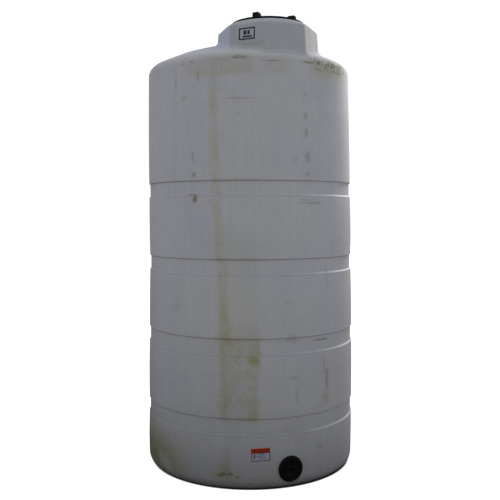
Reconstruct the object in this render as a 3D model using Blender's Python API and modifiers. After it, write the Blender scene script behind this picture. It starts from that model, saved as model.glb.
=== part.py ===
"""Vertical storage tank in rotationally moulded polyethylene, in metres, +Z up.

The origin is the centre of the tank's flat bottom. The front, with the outlet fitting, faces -Y.
"""

import bpy
import bmesh
import math
from mathutils import Matrix, Vector

# Barrel
TANK_RADIUS = 0.6096
WALL = 0.008
BASE_CORNER = 0.045
PAN_HEIGHT = 0.056
BARREL_TOP = 2.300
COURSE_BULGE = 0.002

# Recessed bands round the barrel, from the lowest one up, each a little narrower than the last
BAND_COUNT = 4
BAND_FIRST = 0.2885
BAND_PITCH = 0.427
BAND_HEIGHT = 0.0935
BAND_NARROWING = 0.0034
BAND_DEPTH = 0.0065
BAND_LEDGE = 0.008
BAND_LIP = 0.002

# Roof: a rounded shoulder, a cone up to a ridge, and a flatter crown inside the ridge
SHOULDER_RADIUS = 0.055
ROOF_SLOPE = math.radians(24.4)
RIDGE_RADIUS = 0.458
CROWN_SLOPE = math.radians(19.1)
CROWN_FLATTENING = 0.6

# The manway turret and the outlet face the same way, a little to the right of the front
FRONT_AZIMUTH = math.radians(20.5)

# Turret: an octagon with rounded edges, set forward of the tank's axis. It narrows upwards by
# the draft, and has the given apothem at mid height.
TURRET_OFFSET = 0.304
TURRET_SIDES = 8
TURRET_APOTHEM = 0.268
TURRET_MID_HEIGHT = 2.45
TURRET_DRAFT = 0.07
TURRET_CORNER = 0.020
TURRET_CROWN = 0.2335
TURRET_SEAM = 2.498
TURRET_SHOULDER = 2.5045
TURRET_TOP = 2.537
TURRET_FOOT = 2.26

# Manway ring and lid
MANWAY_RADIUS = 0.203
RING_RADIUS = 0.214
RING_BORE = 0.195
RING_FLANGE = 0.006
RING_DEPTH = 0.045
LID_RADIUS = 0.211
LID_THICKNESS = 0.009
LID_CROWN = 0.006
LID_BEVEL = 0.00225
LID_PANEL = 0.005
LID_SPIGOT_RADIUS = 0.189
LID_SPIGOT_WALL = 0.006
LID_SPIGOT_DEPTH = 0.030
SEAL_INNER = 0.197
SEAL_OUTER = 0.207
SEAL_THICKNESS = 0.003
LUG_COUNT = 4
LUG_FIRST_AZIMUTH = math.radians(-25.0)
LUG_REACH = 0.160
LUG_LENGTH = 0.085
LUG_FLAT = 0.050
LUG_WIDTH = 0.044
LUG_HEIGHT = 0.034
LUG_INNER_HEIGHT = 0.012
VENT_RADIUS = 0.030
VENT_TOP_RADIUS = 0.024
VENT_HEIGHT = 0.012
VENT_SHOULDER = 0.007

# Outlet fitting through the lowest course
OUTLET_HEIGHT = 0.107
OUTLET_BORE = 0.0255
OUTLET_BODY = 0.036
OUTLET_HOLE = 0.0385
OUTLET_FLANGE = 0.0695
OUTLET_FLANGE_THICKNESS = 0.010
OUTLET_RIM_WIDTH = 0.008
OUTLET_RIM_HEIGHT = 0.003
OUTLET_SEAL_OUTER = 0.064
OUTLET_SEAL_THICKNESS = 0.006
OUTLET_SEAL_BACK = 0.030
OUTLET_REACH_IN = 0.040
OUTLET_NUT = 0.052
OUTLET_NUT_THICKNESS = 0.018
OUTLET_PLUG_RECESS = 0.004
OUTLET_PLUG_LENGTH = 0.020

# Touching solids keep this gap
GAP = 0.0003

# Facets
BARREL_STEPS = 48
LID_STEPS = 48
VENT_STEPS = 24
FITTING_STEPS = 32
ARC_STEPS = 6
CORNER_STEPS = 2
SIDE_STEPS = 4
CROWN_STEPS = 3
CROWN_POWER = 1.6
SHARP_ANGLE = math.radians(30.0)
SCREW_MERGE = 0.0001

# How far a cutter runs past what it cuts
CUT_PAST = 0.1

QUARTER_TURN = math.pi / 2.0
FULL_TURN = 2.0 * math.pi


def clear_scene():
    for obj in list(bpy.data.objects):
        bpy.data.objects.remove(obj, do_unlink=True)


def new_collection(name):
    made = bpy.data.collections.new(name)
    bpy.context.scene.collection.children.link(made)
    return made


def material(name, colour, roughness):
    made = bpy.data.materials.new(name)
    made.use_nodes = True
    shader = made.node_tree.nodes["Principled BSDF"]
    shader.inputs["Base Color"].default_value = (*colour, 1.0)
    shader.inputs["Roughness"].default_value = roughness
    return made


def on_azimuth(azimuth, distance, height=0.0):
    """A point at a distance from the tank's axis. Azimuth 0 is the front, and it grows to the right."""
    return Vector((distance * math.sin(azimuth), -distance * math.cos(azimuth), height))


def add_object(name, mesh, group, finish=None):
    obj = bpy.data.objects.new(name, mesh)
    group.objects.link(obj)
    if finish:
        mesh.materials.append(finish)
    return obj


def as_cutter(obj):
    obj.hide_render = True
    obj.display_type = "WIRE"
    return obj


def cut(obj, cutter):
    modifier = obj.modifiers.new(cutter.name, "BOOLEAN")
    modifier.operation = "DIFFERENCE"
    modifier.solver = "EXACT"
    modifier.object = cutter


def arc(centre_r, centre_z, radius, start, end):
    """Points of an arc in the profile plane, from one angle to the other, both measured from +X."""
    points = []
    for i in range(ARC_STEPS + 1):
        angle = start + (end - start) * i / ARC_STEPS
        points.append((centre_r + radius * math.cos(angle), centre_z + radius * math.sin(angle)))
    return points


def turned(name, points, group, finish=None, steps=BARREL_STEPS, closed=True, at=(0.0, 0.0, 0.0)):
    """Turns a profile of (radius, height) points that runs down its outer side about Z."""
    edges = [(i, i + 1) for i in range(len(points) - 1)]
    if closed:
        edges.append((len(points) - 1, 0))
    mesh = bpy.data.meshes.new(name)
    mesh.from_pydata([(r, 0.0, z) for r, z in points], edges, [])
    obj = add_object(name, mesh, group, finish)
    obj.location = at
    screw = obj.modifiers.new("Turn", "SCREW")
    screw.axis = "Z"
    screw.angle = FULL_TURN
    screw.steps = steps
    screw.render_steps = steps
    screw.use_merge_vertices = True
    screw.merge_threshold = SCREW_MERGE
    screw.use_smooth_shade = True
    return obj


def make_pan(group, finish):
    """The flat bottom with its rounded corner."""
    corner_r = TANK_RADIUS - BASE_CORNER
    points = [(0.0, WALL)]
    points += arc(corner_r, BASE_CORNER, BASE_CORNER - WALL, -QUARTER_TURN, 0.0)
    points.append((TANK_RADIUS - WALL, PAN_HEIGHT))
    points.append((TANK_RADIUS, PAN_HEIGHT))
    points += arc(corner_r, BASE_CORNER, BASE_CORNER, 0.0, -QUARTER_TURN)
    points.append((0.0, 0.0))
    return turned("bottom_pan", points, group, finish, closed=False)


def make_course(name, low, high, group, finish):
    """One plain course of the barrel, which swells a little at mid height."""
    inside = TANK_RADIUS - WALL
    points = [
        (inside, high),
        (TANK_RADIUS, high),
        (TANK_RADIUS + COURSE_BULGE, (low + high) / 2.0),
        (TANK_RADIUS, low),
        (inside, low),
    ]
    return turned(name, points, group, finish)


def make_band(name, low, high, group, finish):
    """A recessed band, with a sharp step at its top and a sloping ledge at its foot."""
    floor = TANK_RADIUS - BAND_DEPTH
    inside = TANK_RADIUS - WALL
    points = [
        (inside, high),
        (TANK_RADIUS, high),
        (floor, high - BAND_LIP),
        (floor, low + BAND_LEDGE),
        (TANK_RADIUS, low),
        (inside, low),
        (floor - WALL, low + BAND_LEDGE),
        (floor - WALL, high - BAND_LIP),
    ]
    return turned(name, points, group, finish)


def make_barrel(group, finish):
    """Courses and bands by turns, from the pan up to the roof. Returns the lowest course."""
    courses = []
    foot = PAN_HEIGHT + GAP
    for i in range(BAND_COUNT):
        low = BAND_FIRST + BAND_PITCH * i
        high = low + BAND_HEIGHT - BAND_NARROWING * i
        courses.append(make_course(f"wall_course_{i + 1}", foot, low - GAP, group, finish))
        make_band(f"recessed_band_{i + 1}", low, high, group, finish)
        foot = high + GAP
    make_course(f"wall_course_{BAND_COUNT + 1}", foot, BARREL_TOP - GAP, group, finish)
    return courses[0]


def roof_profile(inset):
    """The roof's profile from its centre out and down to the barrel, moved in by the inset."""
    shoulder_r = TANK_RADIUS - SHOULDER_RADIUS
    shoulder_end = QUARTER_TURN - ROOF_SLOPE
    shoulder = arc(shoulder_r, BARREL_TOP, SHOULDER_RADIUS - inset, shoulder_end, 0.0)
    start_r, start_z = shoulder[0]
    ridge_z = start_z + (start_r - RIDGE_RADIUS) * math.tan(ROOF_SLOPE)
    crown = []
    for i in range(ARC_STEPS + 1):
        r = RIDGE_RADIUS * i / ARC_STEPS
        inward = RIDGE_RADIUS - r
        fall = CROWN_FLATTENING * inward / (2.0 * RIDGE_RADIUS)
        crown.append((r, ridge_z + math.tan(CROWN_SLOPE) * inward * (1.0 - fall)))
    return crown + shoulder


def turret_apothem(height):
    return TURRET_APOTHEM + TURRET_DRAFT * (TURRET_MID_HEIGHT - height)


def turret_ring(inset, at_height, height, roundness=0.0):
    """Points round the turret's outline at one height, moved by the roundness towards a circle."""
    sector = FULL_TURN / TURRET_SIDES
    corner = TURRET_CORNER - inset
    reach = (turret_apothem(at_height) - TURRET_CORNER) / math.cos(sector / 2.0)
    corners = []
    for i in range(TURRET_SIDES):
        start = FRONT_AZIMUTH + sector * i
        middle = on_azimuth(start + sector / 2.0, reach)
        turns = [start + sector * j / CORNER_STEPS for j in range(CORNER_STEPS + 1)]
        corners.append([middle + on_azimuth(turn, corner) for turn in turns])
    points = []
    for this, following in zip(corners, corners[1:] + corners[:1]):
        points += this
        points += [this[-1].lerp(following[0], j / SIDE_STEPS) for j in range(1, SIDE_STEPS)]
    centre = on_azimuth(FRONT_AZIMUTH, TURRET_OFFSET, height)
    circle = TURRET_CROWN - inset
    return [centre + p.lerp(p.normalized() * circle, roundness) for p in points]


def turret_block(name, inset, low, high, group, finish=None, crowned=False):
    """The turret's octagon between two heights. A crowned one ends in a circle above its shoulder."""
    if crowned:
        rings = [turret_ring(inset, low, low)]
        for i in range(CROWN_STEPS + 1):
            angle = QUARTER_TURN * i / CROWN_STEPS
            roundness = 1.0 - math.cos(angle) ** CROWN_POWER
            rise = math.sin(angle) ** CROWN_POWER
            height = TURRET_SHOULDER + (high - TURRET_SHOULDER) * rise
            rings.append(turret_ring(inset, TURRET_SHOULDER, height, roundness))
    else:
        rings = [turret_ring(inset, low, low), turret_ring(inset, high, high)]
    form = bmesh.new()
    loops = [[form.verts.new(p) for p in ring] for ring in rings]
    form.faces.new(loops[0][::-1])
    for lower, upper in zip(loops, loops[1:]):
        for i in range(len(lower)):
            form.faces.new((lower[i - 1], lower[i], upper[i], upper[i - 1]))
    form.faces.new(loops[-1])
    bmesh.ops.triangulate(form, faces=form.faces)
    bmesh.ops.recalc_face_normals(form, faces=form.faces)
    mesh = bpy.data.meshes.new(name)
    form.to_mesh(mesh)
    form.free()
    mesh.shade_smooth()
    mesh.set_sharp_from_angle(angle=SHARP_ANGLE)
    return add_object(name, mesh, group, finish)


def make_roof(group, cutters, finish):
    outer = roof_profile(0.0)
    inner = roof_profile(WALL)
    roof = turned("roof_dome", outer + inner[::-1], group, finish, closed=False)
    hole = turret_block("turret_hole", -GAP, TURRET_FOOT, TURRET_TOP + CUT_PAST, cutters)
    cut(roof, as_cutter(hole))


def make_turret(group, cutters, finish):
    """The octagonal wall, which stands on the roof, and its rounded top with the manway's hole."""
    wall = turret_block("turret_wall", 0.0, TURRET_FOOT, TURRET_SEAM, group, finish)
    bore = turret_block("turret_bore", WALL, TURRET_FOOT - CUT_PAST, TURRET_SEAM + CUT_PAST, cutters)
    cut(wall, as_cutter(bore))
    under = roof_profile(WALL)
    floor = TURRET_FOOT - CUT_PAST
    under += [(under[-1][0], floor), (0.0, floor)]
    cut(wall, as_cutter(turned("under_roof", under, cutters, closed=False)))

    seam = TURRET_SEAM + GAP
    top = turret_block("turret_top", 0.0, seam, TURRET_TOP, group, finish, crowned=True)
    ceiling = TURRET_TOP - WALL
    hollow = turret_block("turret_hollow", WALL, seam - CUT_PAST, ceiling, cutters, crowned=True)
    cut(top, as_cutter(hollow))
    mouth = [
        (0.0, TURRET_TOP + CUT_PAST),
        (MANWAY_RADIUS, TURRET_TOP + CUT_PAST),
        (MANWAY_RADIUS, seam - CUT_PAST),
        (0.0, seam - CUT_PAST),
    ]
    at = on_azimuth(FRONT_AZIMUTH, TURRET_OFFSET)
    mouth_form = turned("manway_hole", mouth, cutters, steps=LID_STEPS, closed=False, at=at)
    cut(top, as_cutter(mouth_form))


def make_manway(group, black, rubber):
    """The threaded ring in the turret's top, the seal, and the screw lid with its lugs and vent."""
    seat = TURRET_TOP + GAP
    at = on_azimuth(FRONT_AZIMUTH, TURRET_OFFSET, seat)
    sleeve = MANWAY_RADIUS - GAP
    ring = [
        (RING_BORE, RING_FLANGE),
        (RING_RADIUS, RING_FLANGE),
        (RING_RADIUS, 0.0),
        (sleeve, 0.0),
        (sleeve, -RING_DEPTH),
        (RING_BORE, -RING_DEPTH),
    ]
    turned("manway_ring", ring, group, black, steps=LID_STEPS, at=at)

    seal_foot = RING_FLANGE + GAP
    seal_head = seal_foot + SEAL_THICKNESS
    seal = [
        (SEAL_INNER, seal_head),
        (SEAL_OUTER, seal_head),
        (SEAL_OUTER, seal_foot),
        (SEAL_INNER, seal_foot),
    ]
    turned("lid_seal", seal, group, rubber, steps=LID_STEPS, at=at)

    foot = seal_head + GAP
    top = foot + LID_THICKNESS
    spigot_bore = LID_SPIGOT_RADIUS - LID_SPIGOT_WALL
    disc = [
        (0.0, top + LID_CROWN),
        (LID_RADIUS - LID_BEVEL, top),
        (LID_RADIUS, top - LID_BEVEL),
        (LID_RADIUS, foot),
        (LID_SPIGOT_RADIUS, foot),
        (LID_SPIGOT_RADIUS, foot - LID_SPIGOT_DEPTH),
        (spigot_bore, foot - LID_SPIGOT_DEPTH),
        (spigot_bore, top - LID_PANEL),
        (0.0, top + LID_CROWN - LID_PANEL),
    ]
    turned("lid_disc", disc, group, black, steps=LID_STEPS, closed=False, at=at)

    for i in range(LUG_COUNT):
        azimuth = LUG_FIRST_AZIMUTH + FULL_TURN * i / LUG_COUNT
        lug = make_lug(f"lid_lug_{i + 1}", group, black)
        lug.location = at + Vector((0.0, 0.0, top + GAP))
        lug.rotation_euler = (0.0, 0.0, azimuth - QUARTER_TURN)

    vent = [
        (0.0, VENT_HEIGHT),
        (VENT_TOP_RADIUS, VENT_HEIGHT),
        (VENT_RADIUS, VENT_SHOULDER),
        (VENT_RADIUS, 0.0),
        (0.0, 0.0),
    ]
    vent_at = at + Vector((0.0, 0.0, top + LID_CROWN + GAP))
    turned("lid_vent", vent, group, black, steps=VENT_STEPS, closed=False, at=vent_at)


def lid_rise(r):
    """How far the lid's sloping top stands above its rim."""
    return LID_CROWN * (1.0 - r / (LID_RADIUS - LID_BEVEL))


def make_lug(name, group, finish):
    """A block along +X that stands on the lid, and slopes down at its inner end."""
    inner = LUG_REACH - LUG_LENGTH
    side = [
        (LUG_REACH, lid_rise(LUG_REACH)),
        (LUG_REACH, LUG_HEIGHT),
        (LUG_REACH - LUG_FLAT, LUG_HEIGHT),
        (inner, lid_rise(inner) + LUG_INNER_HEIGHT),
        (inner, lid_rise(inner)),
    ]
    form = bmesh.new()
    face = form.faces.new([form.verts.new((r, -LUG_WIDTH / 2.0, z)) for r, z in side])
    swept = bmesh.ops.extrude_face_region(form, geom=[face])
    moved = [item for item in swept["geom"] if isinstance(item, bmesh.types.BMVert)]
    bmesh.ops.translate(form, verts=moved, vec=(0.0, LUG_WIDTH, 0.0))
    bmesh.ops.recalc_face_normals(form, faces=form.faces)
    mesh = bpy.data.meshes.new(name)
    form.to_mesh(mesh)
    form.free()
    return add_object(name, mesh, group, finish)


def fitting(name, points, group, finish=None, closed=True):
    """A piece turned about the outlet's axis. Its heights are distances from the tank's axis."""
    obj = turned(name, points, group, finish, steps=FITTING_STEPS, closed=closed)
    out = on_azimuth(FRONT_AZIMUTH, 1.0)
    turn = out.to_track_quat("Z", "Y").to_matrix().to_4x4()
    obj.matrix_world = Matrix.Translation((0.0, 0.0, OUTLET_HEIGHT)) @ turn
    return obj


def make_outlet(course, group, cutters, black, rubber):
    """A flanged body in a hole through the wall, sealed outside, nutted inside and closed by a plug."""
    hole_out = TANK_RADIUS + CUT_PAST
    hole_in = TANK_RADIUS - CUT_PAST
    hole = [(0.0, hole_out), (OUTLET_HOLE, hole_out), (OUTLET_HOLE, hole_in), (0.0, hole_in)]
    cut(course, as_cutter(fitting("outlet_hole", hole, cutters, closed=False)))

    head = BAND_FIRST + CUT_PAST
    foot = -CUT_PAST
    outside = TANK_RADIUS + COURSE_BULGE + GAP
    round_outside = [(0.0, head), (outside, head), (outside, foot), (0.0, foot)]
    outside_form = as_cutter(turned("round_outside", round_outside, cutters, closed=False))
    inside = TANK_RADIUS - WALL - GAP
    beyond = TANK_RADIUS + CUT_PAST
    round_inside = [(inside, head), (beyond, head), (beyond, foot), (inside, foot)]
    inside_form = as_cutter(turned("round_inside", round_inside, cutters))

    seal_out = TANK_RADIUS + OUTLET_SEAL_THICKNESS
    seal_in = TANK_RADIUS - OUTLET_SEAL_BACK
    sleeve = OUTLET_BODY + GAP
    seal = [
        (sleeve, seal_out),
        (OUTLET_SEAL_OUTER, seal_out),
        (OUTLET_SEAL_OUTER, seal_in),
        (sleeve, seal_in),
    ]
    cut(fitting("outlet_seal", seal, group, rubber), outside_form)

    flange_back = seal_out + GAP
    flange_face = flange_back + OUTLET_FLANGE_THICKNESS
    rim = OUTLET_FLANGE - OUTLET_RIM_WIDTH
    rim_face = flange_face + OUTLET_RIM_HEIGHT
    end_in = TANK_RADIUS - OUTLET_REACH_IN
    body = [
        (OUTLET_BORE, flange_face),
        (rim, flange_face),
        (rim, rim_face),
        (OUTLET_FLANGE, rim_face),
        (OUTLET_FLANGE, flange_back),
        (OUTLET_BODY, flange_back),
        (OUTLET_BODY, end_in),
        (OUTLET_BORE, end_in),
    ]
    fitting("outlet_body", body, group, black)

    nut_out = TANK_RADIUS
    nut_in = inside - OUTLET_NUT_THICKNESS
    nut = [(sleeve, nut_out), (OUTLET_NUT, nut_out), (OUTLET_NUT, nut_in), (sleeve, nut_in)]
    cut(fitting("outlet_nut", nut, group, black), inside_form)

    plug_face = flange_face - OUTLET_PLUG_RECESS
    plug_end = plug_face - OUTLET_PLUG_LENGTH
    plug_r = OUTLET_BORE - GAP
    plug = [(0.0, plug_face), (plug_r, plug_face), (plug_r, plug_end), (0.0, plug_end)]
    fitting("outlet_plug", plug, group, black, closed=False)


def main():
    clear_scene()
    tank = new_collection("vertical_storage_tank")
    cutters = new_collection("cutters")
    shell = material("white_polyethylene", (0.60, 0.61, 0.62), 0.45)
    black = material("black_polypropylene", (0.012, 0.012, 0.013), 0.42)
    rubber = material("seal_rubber", (0.02, 0.02, 0.02), 0.75)

    make_pan(tank, shell)
    lowest_course = make_barrel(tank, shell)
    make_roof(tank, cutters, shell)
    make_turret(tank, cutters, shell)
    make_manway(tank, black, rubber)
    make_outlet(lowest_course, tank, cutters, black, rubber)


main()
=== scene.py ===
"""The looks of a weathered polyethylene storage tank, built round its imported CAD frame."""

import math

import bmesh
import bpy
import numpy as np
from mathutils import Matrix, Vector


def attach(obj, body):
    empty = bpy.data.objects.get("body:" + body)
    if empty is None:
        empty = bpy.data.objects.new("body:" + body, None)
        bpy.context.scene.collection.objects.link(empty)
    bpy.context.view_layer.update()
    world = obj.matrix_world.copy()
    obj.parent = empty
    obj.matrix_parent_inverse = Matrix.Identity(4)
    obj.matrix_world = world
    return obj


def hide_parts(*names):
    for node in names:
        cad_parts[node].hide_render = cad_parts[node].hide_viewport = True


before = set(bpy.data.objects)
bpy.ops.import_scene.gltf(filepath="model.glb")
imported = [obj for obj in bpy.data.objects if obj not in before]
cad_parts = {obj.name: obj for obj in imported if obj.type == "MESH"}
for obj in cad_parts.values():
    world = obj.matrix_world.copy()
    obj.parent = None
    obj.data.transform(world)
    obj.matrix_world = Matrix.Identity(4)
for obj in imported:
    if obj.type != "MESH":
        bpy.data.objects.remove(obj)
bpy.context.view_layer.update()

# Shell, in metres, as the CAD has it
RADIUS = 0.6096
WALL = 0.008
BASE_CORNER = 0.045
BARREL_TOP = 2.300
BULGE = 0.002
BAND_COUNT = 4
BAND_FIRST = 0.2885
BAND_PITCH = 0.427
BAND_HEIGHT = 0.0935
BAND_NARROWING = 0.0034
BAND_DEPTH = 0.0065
BAND_LEDGE = 0.008
BAND_LIP = 0.002

# How the shell is warped: at each height its shift to the right and its growth all round
WARP = [
    (0.00, -0.0015, 0.0015),
    (0.15, -0.0012, 0.0035),
    (0.33, 0.0010, 0.0055),
    (0.55, 0.0018, 0.0045),
    (0.80, 0.0032, 0.0045),
    (1.05, 0.0036, 0.0020),
    (1.40, 0.0026, 0.0012),
    (1.70, -0.0008, 0.0022),
    (1.92, -0.0025, 0.0006),
    (2.17, -0.0042, -0.0016),
    (2.30, -0.0048, -0.0022),
]
WARP_FROM, WARP_TO = 0.45, 0.58

# Roof
SHOULDER_RADIUS = 0.055
ROOF_SLOPE = math.radians(24.4)
RIDGE_RADIUS = 0.458
CROWN_SLOPE = math.radians(19.1)
CROWN_FLATTENING = 0.6
GUTTER_WIDTH = 0.045
GUTTER_DEPTH = 0.009

# Turret, whose apothem is taken at mid height
FRONT_AZIMUTH = math.radians(20.5)
TURRET_OFFSET = 0.304
TURRET_APOTHEM = 0.268
TURRET_MID_HEIGHT = 2.45
TURRET_DRAFT = 0.07
TURRET_CORNER = 0.020
TURRET_CROWN = 0.2335
TURRET_SHOULDER = 2.5045
TURRET_TOP = 2.537
CROWN_POWER = 1.6
TURRET_FLARE = 0.018
MANWAY_RADIUS = 0.203

# Manway ring, gasket and lid, whose heights are above the seat
SEAT = TURRET_TOP + 0.0003
RING_RADIUS = 0.214
RING_BORE = 0.195
RING_FLANGE = 0.006
RING_DEPTH = 0.045
GASKET_FOOT = 0.0063
GASKET_HEAD = 0.0093
LID_RADIUS = 0.211
LID_FOOT = 0.0096
LID_TOP = 0.0186
LID_CROWN = 0.006
SPIGOT_RADIUS = 0.189
SPIGOT_BORE = 0.183
SPIGOT_DEPTH = 0.030
THREAD_PITCH = 0.0075
THREAD_HEIGHT = 0.0018
KNURLS = 60
LUG_COUNT = 4
LUG_FIRST_AZIMUTH = math.radians(-25.0)
LUG_REACH = 0.172
LUG_LENGTH = 0.085
LUG_FLAT = 0.037
LUG_RAMP = 0.020
LUG_WIDTH = 0.038
LUG_HEIGHT = 0.0365
LUG_INNER_HEIGHT = 0.012

# Outlet, whose parts stand out from the back of the flange
OUTLET_HEIGHT = 0.107
OUTLET_BORE = 0.0255
OUTLET_BODY = 0.036
OUTLET_FLANGE = 0.0695
OUTLET_BACK = RADIUS + 0.0063
OUTLET_END = RADIUS - 0.040

# Light
FLOOR_GLOW = 1.1
SKY_GLOW = 1.12
WORLD_LIGHT = 0.80
WORLD_COLOUR = (0.945, 0.965, 1.0, 1.0)
CONTACT_SHIFT = (0.003, -0.003)

BARREL_STEPS = 240
HALF_TURN = math.pi
FULL_TURN = 2.0 * math.pi


# Shapes

def out_of_true(azimuth, height):
    """How far the warped wall stands out of a true cylinder, in metres."""
    heights, sway, swell = np.array(WARP).T
    side = np.interp(height, heights, sway)
    all_round = np.interp(height, heights, swell)
    ripple = (
        0.0005 * np.sin(3.0 * azimuth + 1.9 + 1.7 * height)
        + 0.0003 * np.sin(5.0 * azimuth - 0.8 + 3.1 * height)
        + 0.0003 * np.sin(11.0 * azimuth + 7.3 * height)
    )
    return all_round + side * np.sin(azimuth) + ripple


def rounded(points, radii, segments=4):
    """The open polyline with each inner corner turned into an arc of its own radius."""
    points = [np.array(p, float) for p in points]
    made = [points[0]]
    for before, corner, after, radius in zip(points, points[1:], points[2:], radii):
        if not radius:
            made.append(corner)
            continue
        u = before - corner
        v = after - corner
        length_u, length_v = np.linalg.norm(u), np.linalg.norm(v)
        u, v = u / length_u, v / length_v
        half = math.acos(max(-1.0, min(1.0, float(u @ v)))) / 2.0
        reach = min(radius / math.tan(half), 0.45 * length_u, 0.45 * length_v)
        centre = corner + (u + v) / np.linalg.norm(u + v) * (reach / math.cos(half))
        start = corner + u * reach - centre
        end = corner + v * reach - centre
        turn = HALF_TURN - 2.0 * half
        for i in range(segments + 1):
            t = i / segments
            weight_start = math.sin((1.0 - t) * turn) / math.sin(turn)
            weight_end = math.sin(t * turn) / math.sin(turn)
            made.append(centre + start * weight_start + end * weight_end)
    made.append(points[-1])
    return made


def held(points, support, longest):
    """The polyline with a point close to each end of its long runs, and none longer than asked."""
    made = [points[0]]
    for a, b in zip(points, points[1:]):
        a, b = np.array(a, float), np.array(b, float)
        length = np.linalg.norm(b - a)
        stops = []
        if length > 4.0 * support:
            inner = length - 2.0 * support
            count = max(1, math.ceil(inner / longest))
            stops = [(support + inner * i / count) / length for i in range(count + 1)]
        made += [a + (b - a) * t for t in stops]
        made.append(b)
    return made


def mesh_object(name, vertices, faces, sharp=40.0):
    """A smooth-shaded object whose faces point outwards."""
    mesh = bpy.data.meshes.new(name)
    mesh.from_pydata([tuple(map(float, v)) for v in vertices], [], faces)
    form = bmesh.new()
    form.from_mesh(mesh)
    if form.calc_volume(signed=True) < 0.0:
        bmesh.ops.reverse_faces(form, faces=form.faces)
    form.to_mesh(mesh)
    form.free()
    mesh.shade_smooth()
    mesh.set_sharp_from_angle(angle=math.radians(sharp))
    obj = bpy.data.objects.new(name, mesh)
    bpy.context.scene.collection.objects.link(obj)
    return obj


def skin(name, rings, caps=True, sharp=40.0):
    """Joins rings of equal count into one closed skin. With caps, the ends close at their middles."""
    count = len(rings[0])
    vertices = [p for ring in rings for p in ring]
    faces = []
    last = len(rings) - 1 if caps else len(rings)
    for i in range(last):
        k = (i + 1) % len(rings)
        for j in range(count):
            n = (j + 1) % count
            faces.append((i * count + j, k * count + j, k * count + n, i * count + n))
    if caps:
        for ring_at, ring in ((0, rings[0]), (last, rings[-1])):
            vertices.append(np.mean(ring, axis=0))
            middle = len(vertices) - 1
            for j in range(count):
                a, b = ring_at * count + j, ring_at * count + (j + 1) % count
                faces.append((a, b, middle) if ring_at == 0 else (b, a, middle))
    return mesh_object(name, vertices, faces, sharp)


def turned(name, profile, steps, caps=True, sharp=40.0, place=None, shape=None):
    """Turns (radius, height) points about Z. shape(azimuth, radius, height) may change the radius."""
    azimuth = np.arange(steps) * FULL_TURN / steps
    rings = []
    for r, z in profile:
        radius = np.full(steps, float(r))
        if shape:
            radius = shape(azimuth, radius, z)
        ring = np.stack([radius * np.sin(azimuth), -radius * np.cos(azimuth), np.full(steps, float(z))], 1)
        rings.append(ring)
    obj = skin(name, rings, caps, sharp)
    if place is not None:
        obj.data.transform(place)
    return obj


def cut(obj, cutter):
    """Cuts the cutter out of the object for good, and removes the cutter."""
    modifier = obj.modifiers.new("Cut", "BOOLEAN")
    modifier.operation = "DIFFERENCE"
    modifier.solver = "EXACT"
    modifier.object = cutter
    graph = bpy.context.evaluated_depsgraph_get()
    whole = obj.data
    obj.data = bpy.data.meshes.new_from_object(obj.evaluated_get(graph))
    obj.modifiers.clear()
    bpy.data.meshes.remove(whole)
    bpy.data.objects.remove(cutter, do_unlink=True)


def roof_outline(inset):
    """(radius, height) points of the roof from near its centre out and down to the barrel's top."""
    shoulder_r = RADIUS - SHOULDER_RADIUS
    reach = SHOULDER_RADIUS - inset
    shoulder = []
    for i in range(13):
        angle = math.pi / 2.0 - ROOF_SLOPE - (math.pi / 2.0 - ROOF_SLOPE) * i / 12.0
        shoulder.append((shoulder_r + reach * math.cos(angle), BARREL_TOP + reach * math.sin(angle)))
    start_r, start_z = shoulder[0]
    ridge_z = start_z + (start_r - RIDGE_RADIUS) * math.tan(ROOF_SLOPE)
    crown = []
    for r in np.linspace(0.004, RIDGE_RADIUS, 60):
        inward = RIDGE_RADIUS - r
        fall = CROWN_FLATTENING * inward / (2.0 * RIDGE_RADIUS)
        z = ridge_z + math.tan(CROWN_SLOPE) * inward * (1.0 - fall)
        if inward < GUTTER_WIDTH:
            z -= GUTTER_DEPTH * math.sin(math.pi * inward / GUTTER_WIDTH) ** 2
        crown.append((r, z))
    cone = [
        (RIDGE_RADIUS + (start_r - RIDGE_RADIUS) * t, ridge_z + (start_z - ridge_z) * t)
        for t in np.linspace(0.0, 1.0, 13)[1:-1]
    ]
    return crown + cone + shoulder


ROOF = np.array(roof_outline(0.0))
ROOF_UNDER = np.array(roof_outline(WALL))


def warp(azimuth, radius, height):
    """How far the warp moves a point of the shell outwards. It fades away up the roof."""
    share = np.clip((radius - WARP_FROM) / (WARP_TO - WARP_FROM), 0.0, 1.0)
    return out_of_true(azimuth, min(height, BARREL_TOP)) * share


def roof_height(x, y, outline=ROOF):
    radius = np.hypot(x, y)
    radius = radius - warp(np.arctan2(x, -y), radius, BARREL_TOP)
    return np.interp(radius, outline[:, 0], outline[:, 1])


def band_edges(i):
    low = BAND_FIRST + BAND_PITCH * i
    return low, low + BAND_HEIGHT - BAND_NARROWING * i


def barrel_outline():
    """(radius, height) points of the barrel's outer side, from the roof down to the flat bottom."""
    points = [(RADIUS, BARREL_TOP - 0.004)]
    for i in reversed(range(BAND_COUNT)):
        low, high = band_edges(i)
        floor = RADIUS - BAND_DEPTH
        step = rounded(
            [
                (RADIUS, high + 0.03),
                (RADIUS, high),
                (floor, high - BAND_LIP),
                (floor, low + BAND_LEDGE),
                (RADIUS, low),
                (RADIUS, low - 0.03),
            ],
            [0.0022, 0.0035, 0.006, 0.004],
        )
        points += step
    corner_r = RADIUS - BASE_CORNER
    for i in range(13):
        angle = -math.pi / 2.0 * i / 12.0
        points.append((corner_r + BASE_CORNER * math.cos(angle), BASE_CORNER + BASE_CORNER * math.sin(angle)))
    points.append((0.004, 0.0))
    return held(points, 0.0015, 0.036)


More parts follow.
